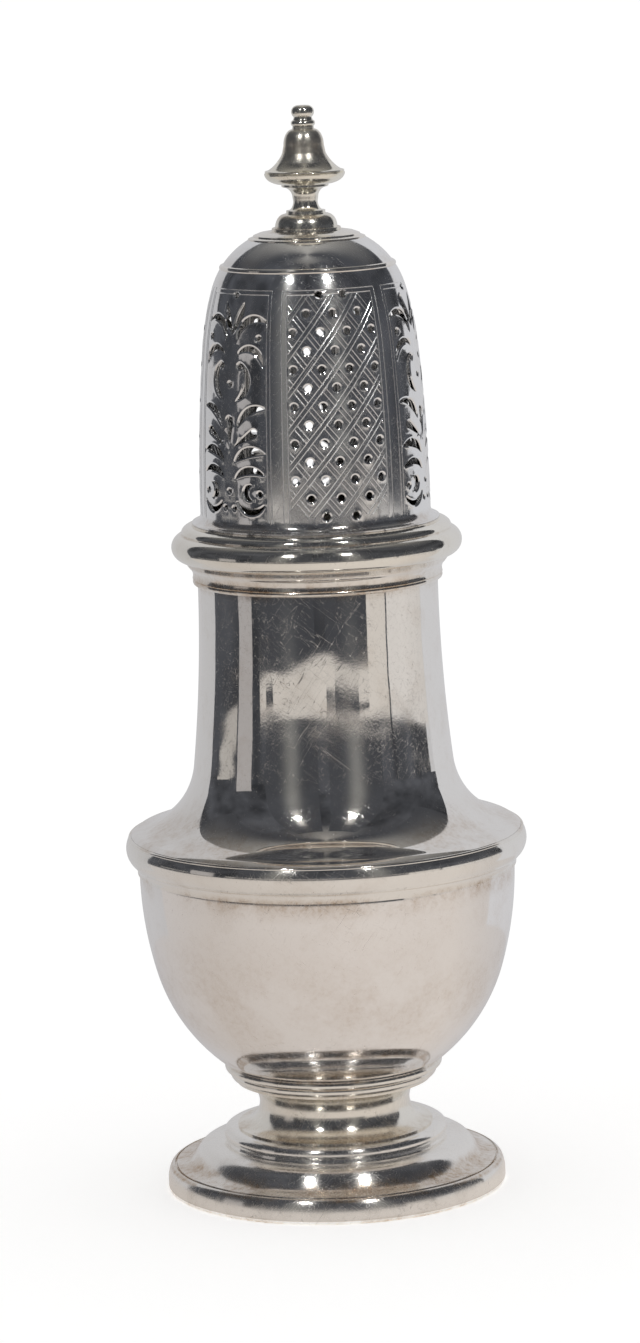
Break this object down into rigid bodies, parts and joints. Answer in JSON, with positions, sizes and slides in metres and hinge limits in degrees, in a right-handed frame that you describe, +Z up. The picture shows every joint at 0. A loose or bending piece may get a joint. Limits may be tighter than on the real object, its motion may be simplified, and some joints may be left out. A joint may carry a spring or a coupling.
{
  "type": "sugar caster",
  "caption": "Silver sugar caster with a round bowl on a spreading foot, a flared neck and a tall pierced, engraved cover that lifts off its neck.",
  "frame": {"origin": "centre of the foot at the level it stands on", "axes": "+Z up along the axis of the caster, -Y towards the front"},
  "size_m": [0.0666, 0.0666, 0.18],
  "materials": {
    "silver_foot": "polished sterling silver with worn edges",
    "silver_moulding": "polished sterling silver, brown tarnish in the hollows",
    "silver_body": "polished sterling silver with fine scratches",
    "silver_inside": "dull sterling silver",
    "silver_dome": "polished sterling silver, pierced and engraved",
    "silver_finial": "polished sterling silver, slightly golden"
  },
  "bodies": {
    "body": {"foot_wire": "silver_foot", "foot_skirt": "silver_foot", "foot_spool": "silver_foot", "bowl_collar": "silver_moulding", "bowl": "silver_body", "girdle": "silver_moulding", "neck": "silver_body", "mouth_wire": "silver_moulding"},
    "cover": {"bezel": "silver_inside", "cover_collar": "silver_moulding", "pierced_dome": "silver_dome", "dome_reed": "silver_dome", "crown_plate": "silver_finial", "finial_pedestal": "silver_finial", "finial_bell": "silver_finial", "finial_button": "silver_finial"}
  },
  "joints": [
    {"name": "cover_lift", "type": "slide", "parent": "body", "child": "cover", "axis": [0, 0, 1], "range_m": [0, 0.04]}
  ]
}
